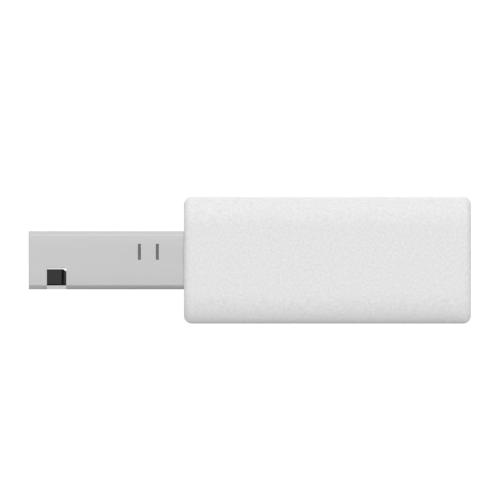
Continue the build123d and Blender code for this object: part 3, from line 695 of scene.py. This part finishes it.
def plug_leg(side):
    """The leg that stands back from the side wall, and its foot that goes down through the board."""
    y0 = PLUG_HALF_Y - SHEET
    arm_z = BOARD_HIGH.z + LEG_ABOVE_BOARD
    top = arm_z + LEG_ARM_HEIGHT
    foot_x = SHELL_HIGH.x - LEG_FOOT_LENGTH
    arm = stretch(side, PLUG_REAR_X - SINK, SHELL_HIGH.x, y0, PLUG_HALF_Y, arm_z, top)
    score(arm, foot_x)
    pick_faces(arm, lambda at, out: at.x > foot_x and out.z < -FACING)
    extrude(z=BOARD_LOW.z - LEG_BELOW_BOARD - arm_z)
    done()

    def toe(a, b):
        return same(a.x, b.x) and same(a.z, b.z) and a.z < BOARD_LOW.z

    round_over(arm, toe, LEG_TOE_RADIUS, segments=3)
    return arm


def plug_shell():
    """The plug's folded sheet. A rounded tube gets its thickness inwards, and then its windows, bridges,
    legs and seam."""
    shell = bar("plug_shell", SHELL_LOW, (PLUG_REAR_X, SHELL_HIGH.y, SHELL_HIGH.z), BEND_RADIUS)
    pick_faces(shell, lambda at, out: abs(out.x) > FACING)
    bpy.ops.mesh.delete(type="FACE")
    done()
    apply(shell, "SOLIDIFY", thickness=SHEET, offset=-1, use_even_offset=True)
    round_over(shell, on_tip_rim, TIP_CHAMFER, segments=3)

    x0 = TIP_X + FACE_WINDOW_START
    y0 = FACE_WINDOW_SPACING / 2 - FACE_WINDOW_WIDTH / 2
    y1 = y0 + FACE_WINDOW_WIDTH
    for low_z, high_z in ((SHELL_LOW.z - SHEET, MIDDLE_Z), (MIDDLE_Z, SHELL_HIGH.z + SHEET)):
        for side in (1, -1):
            window = stretch(side, x0, x0 + FACE_WINDOW_LENGTH, y0, y1, low_z, high_z)
            round_over(window, along(2), FACE_WINDOW_CORNER, segments=4)
            cut(shell, window)
    for side in (1, -1):
        weld(shell, bridge_back(side))
        cut(shell, bridge_dent(side))
        cut(shell, side_window(side))
    weld(shell, *both_sides(plug_leg))
    cut(shell, seam_cut())

    round_over(shell, by_face_window, SHEARED_EDGE, segments=2)
    return settle(shell, "usb_shell", NICKEL_SHEET)


def on_tip_rim(a, b):
    """The test for the edges of the outer rim at the shell's tip."""
    return at_x(TIP_X)(a, b) and outside_sheet(a) and outside_sheet(b)


def outside_sheet(point):
    """Whether a point is nearer the outside of the shell's sheet than the inside."""
    y = PLUG_HALF_Y - SHEET / 2
    return abs(point.y) > y or not SHELL_LOW.z + SHEET / 2 < point.z < SHELL_HIGH.z - SHEET / 2


def by_face_window(a, b):
    """The test for the edges round the shell's face windows."""
    both_inside = on_face(a) and on_face(b) and inside_length(a) and inside_length(b)
    return both_inside and abs(a.y) > CLEAR_OF_SEAM


def on_face(point):
    """Whether a point lies on the shell's flat top or bottom, away from its bends."""
    flat = same(point.z, SHELL_LOW.z) or same(point.z, SHELL_HIGH.z)
    return flat and abs(point.y) < PLUG_HALF_Y - BEND_RADIUS - HAIR


def inside_length(point):
    """Whether a point is away from the shell's two ends."""
    return TIP_X + SHEET < point.x < PLUG_REAR_X - SHEET


# ---------------------------------------------------------------- insulator and contacts
def channel(node):
    """The cutter for the groove that one contact lies in."""
    low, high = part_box(node)
    gap = CONTACT_CHANNEL_GAP
    floor = high.z - CONTACT_THICKNESS - gap
    groove = block("tool", (low.x, low.y - gap, floor), (PLUG_REAR_X + WALL, high.y + gap, high.z + gap))
    drop = high.z - CONTACT_THICKNESS - low.z
    nose_x = low.x + drop + CONTACT_THICKNESS
    nose_z = low.z - CONTACT_THICKNESS
    weld(groove, block("tool", (low.x - gap, low.y - gap, nose_z), (nose_x, high.y + gap, high.z)))
    return groove


def lug(side, *size):
    """One of the moulding's side lugs, with its outer edges softened."""
    piece = stretch(side, *size)

    def outer(a, b):
        return same(a.y, b.y) and abs(a.y) > BLOCK_HIGH.y - HAIR

    round_over(piece, outer, LUG_EDGE, segments=2)
    return piece


def cored_slot(x0, z0):
    """The cutter for the low slot that is cored right through the tongue above the lugs. Its rear end drops
    to a wedge."""
    x1 = TIP_X + SIDE_WINDOW_START + SIDE_WINDOW_LENGTH
    half_y = PLUG_HALF_Y + SHEET
    slot = block("tool", (x0, -half_y, z0), (x1 - CORED_CORNER, half_y, z0 + CORED_SLOT))
    pick_faces(slot, lambda at, out: out.x > FACING)
    extrude(x=CORED_CORNER)
    done()
    pick_edges(slot, crossing(x1, z0))
    bpy.ops.transform.translate(value=(0, 0, CORED_SLOT - CORED_CORNER))
    done()
    return slot


def insulator():
    """The black moulding: a tongue with a rounded nose, the thick block behind it, and the side lugs."""
    rear_x = TIP_X + BLOCK_START
    tongue_top = SHELL_LOW.z + SHEET + TONGUE_THICKNESS
    half_y = PLUG_HALF_Y - SHEET - MOULDED_EDGE
    body = block("black_insulator", (BLOCK_LOW.x, -half_y, BLOCK_LOW.z), (BLOCK_HIGH.x, half_y, tongue_top))
    round_over(body, lambda a, b: at_x(BLOCK_LOW.x)(a, b) and same(a.z, b.z), TONGUE_NOSE, segments=5)
    for side in (1, -1):
        slice_off(body, (0, side * (half_y - TONGUE_CHAMFER), BLOCK_LOW.z), (0, side, -1))
    score(body, rear_x)
    pick_faces(body, lambda at, out: at.x > rear_x and out.z > FACING)
    extrude(z=BLOCK_HIGH.z - tongue_top)
    done()
    round_over(body, lambda a, b: along(0)(a, b) and same(a.z, BLOCK_HIGH.z), TONGUE_CHAMFER, segments=3)

    lug_x = TIP_X + SIDE_WINDOW_START
    rib_x = lug_x + LUG_LENGTH + LUG_SPLIT
    rib_end = rib_x + RIB_LENGTH
    lug_top = MIDDLE_Z - SIDE_WINDOW_TOP - LUG_TOP_GAP
    deep_y = half_y - LUG_RECESS
    recess = (lug_x - TRIM, rib_end + TRIM, deep_y, PLUG_HALF_Y, BLOCK_LOW.z - SHEET, lug_top + CORED_SLOT)
    cut(body, *both_sides(lambda side: stretch(side, *recess)))
    for x0, x1 in ((lug_x, lug_x + LUG_LENGTH), (rib_x, rib_end)):
        size = (x0, x1, deep_y - SINK, BLOCK_HIGH.y, BLOCK_LOW.z + LUG_GAP, lug_top)
        weld(body, *both_sides(lambda side: lug(side, *size)))
    cut(body, cored_slot(lug_x + 2 * TRIM, lug_top - TRIM))

    bridge_z = MIDDLE_Z + BRIDGE_BOTTOM
    pocket_x = TIP_X + BRIDGE_START + BRIDGE_LENGTH + SCORE_WIDTH + BRIDGE_POCKET_GAP
    low_z = max(bridge_z - BRIDGE_POCKET_GAP, tongue_top + TRIM)
    high_z = bridge_z + BRIDGE_HEIGHT + BRIDGE_POCKET_GAP
    pocket = (rear_x - SHEET, pocket_x, half_y - BRIDGE_POCKET_DEPTH, PLUG_HALF_Y, low_z, high_z)
    cut(body, *both_sides(lambda side: stretch(side, *pocket)))
    relief_x = (rear_x + RELIEF_MARGIN, BLOCK_HIGH.x - RELIEF_MARGIN)
    relief_z = (BLOCK_HIGH.z - RELIEF_DEPTH, BLOCK_HIGH.z + SHEET)
    relief = (*relief_x, RELIEF_MARGIN, RELIEF_MARGIN + RELIEF_WIDTH, *relief_z)
    cut(body, *both_sides(lambda side: stretch(side, *relief)))
    for node in CONTACT_NODES:
        cut(body, channel(node))
    return settle(body, "usb_insulator", BLACK_MOULDING)


CONTACT_NODES = {
    "usb_contact_power": "contact_power",
    "usb_contact_data_minus": "contact_data_minus",
    "usb_contact_data_plus": "contact_data_plus",
    "usb_contact_ground": "contact_ground",
}


def contact(node, name):
    """One contact strip, whose front end dips down into the tongue."""
    low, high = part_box(node)
    drop = high.z - CONTACT_THICKNESS - low.z
    bend_x = low.x + drop
    strip = block(name, (bend_x, low.y, high.z - CONTACT_THICKNESS), high)
    pick_faces(strip, lambda at, out: out.x < -FACING)
    extrude(x=-drop, z=-drop)
    done()
    round_over(strip, crossing(bend_x, high.z), CONTACT_BEND_RADIUS, segments=4)
    round_over(strip, lambda a, b: at_x(low.x)(a, b) and same(a.z, b.z), CONTACT_NOSE_RADIUS, segments=3)
    round_over(strip, lambda a, b: along(0)(a, b) and same(a.z, high.z), CONTACT_EDGE_RADIUS, segments=3)
    return settle(strip, node, GOLD_PLATE)


# ---------------------------------------------------------------- pieces whose CAD shape stays
KEPT_SHAPES = {
    "main_board": SOLDER_MASK,
    "contact_pads": PAD_GOLD,
    "test_pads": PAD_GOLD,
    "printed_antenna": PAD_GOLD,
    "solder_joints": BRIGHT_SOLDER,
    "wifi_chip": CHIP_MOULDING,
    "regulator_body": CHIP_MOULDING,
    "surge_guard_body": CHIP_MOULDING,
    "wifi_chip_pads": TIN_PLATE,
    "regulator_leads": TIN_PLATE,
    "surge_guard_leads": TIN_PLATE,
    "inductor_terminals": TIN_PLATE,
    "capacitor_end_caps": TIN_PLATE,
    "resistor_end_caps": TIN_PLATE,
    "shield_fence": SCREENING_TIN,
    "shield_lid": SCREENING_TIN,
    "thermal_pad": HEAT_PAD,
    "crystal_base": DARK_CERAMIC,
    "crystal_lid": LID_METAL,
    "inductor_core": FERRITE,
    "capacitor_bodies": TAN_CERAMIC,
    "resistor_bodies": RESISTOR_GLAZE,
}


def dress_kept_shapes():
    """Gives each node that keeps its shape its finish."""
    for node, material in KEPT_SHAPES.items():
        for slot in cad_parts[node].material_slots:
            slot.material = material


# ---------------------------------------------------------------- floor, light and camera
VIEW_WIDTH = 38.67 * MM
VIEW_MIDDLE_X = 0.01 * MM
CAMERA_HEIGHT = 5.69 * MM
CAMERA_DISTANCE = 0.5
FLOOR_SIZE = 1.2
FLOOR_GAP = 0.01 * MM
FLOOR_GLOW = 0.25
WHITE = (1, 1, 1, 1)
SKY_LIGHT = 0.25
SKY_SEEN = 1.05


def studio_floor():
    """A pale, softly glowing floor just under the object."""
    bpy.ops.object.select_all(action="DESELECT")
    bpy.ops.mesh.primitive_plane_add(size=FLOOR_SIZE, location=(0, 0, SLEEVE_LOW.z - FLOOR_GAP))
    floor = bpy.context.active_object
    floor.name = "studio_floor"
    pale = finish_material(
        "pale_floor", EVEN_GRAIN, light=grey(0.56), dark=grey(0.54),
        grains=400, rough=(0.8, 0.9), depth=0.005 * MM,
    )
    surface = pale.node_tree.nodes["Principled BSDF"]
    surface.inputs["Emission Color"].default_value = WHITE
    surface.inputs["Emission Strength"].default_value = FLOOR_GLOW
    floor.data.materials.append(pale)


def softbox(name, place, width, height, radiance):
    """A soft light that faces the middle of the object. radiance is how bright it looks in a mirror."""
    light = bpy.data.lights.new(name, "AREA")
    light.shape = "RECTANGLE"
    light.size = width
    light.size_y = height
    light.energy = radiance * math.pi * width * height
    lamp = bpy.data.objects.new(name, light)
    bpy.context.scene.collection.objects.link(lamp)
    lamp.location = place
    aim = Vector((0, 0, MIDDLE_Z)) - Vector(place)
    lamp.rotation_euler = aim.to_track_quat("-Z", "Y").to_euler()
    lamp.visible_camera = False


def surroundings():
    """White behind the object, and a dimmer even light from all round it."""
    world = bpy.data.worlds.new("white_surroundings")
    bpy.context.scene.world = world
    world.use_nodes = True
    tree = world.node_tree
    sky = tree.nodes["Background"]
    seen = tree.nodes.new("ShaderNodeLightPath")
    strength = tree.nodes.new("ShaderNodeMapRange")
    strength.inputs["To Min"].default_value = SKY_LIGHT
    strength.inputs["To Max"].default_value = SKY_SEEN
    tree.links.new(seen.outputs["Is Camera Ray"], strength.inputs["Value"])
    tree.links.new(strength.outputs["Result"], sky.inputs["Strength"])
    sky.inputs["Color"].default_value = WHITE


def camera():
    """A flat view square on to the object's side."""
    data = bpy.data.cameras.new("side_camera")
    data.type = "ORTHO"
    data.ortho_scale = VIEW_WIDTH
    eye = bpy.data.objects.new("side_camera", data)
    bpy.context.scene.collection.objects.link(eye)
    eye.location = (VIEW_MIDDLE_X, -CAMERA_DISTANCE, CAMERA_HEIGHT)
    eye.rotation_euler = (math.radians(90), 0, 0)
    bpy.context.scene.camera = eye


sleeve()
front_plate()
plug_shell()
insulator()
for node, name in CONTACT_NODES.items():
    contact(node, name)
dress_kept_shapes()

studio_floor()
surroundings()
softbox("front_softbox", place=(0, -0.6, 0.26), width=1.1, height=0.9, radiance=1.05)
softbox("back_softbox", place=(0, 0.6, 0.38), width=0.9, height=0.45, radiance=1.3)
softbox("top_softbox", place=(0, 0, 0.6), width=0.9, height=0.66, radiance=1.0)
softbox("left_softbox", place=(-0.8, 0, 0.3), width=0.6, height=0.5, radiance=0.35)
softbox("right_softbox", place=(0.8, 0, 0.3), width=0.6, height=0.5, radiance=0.35)
camera()
bpy.context.scene.view_settings.view_transform = "Standard"
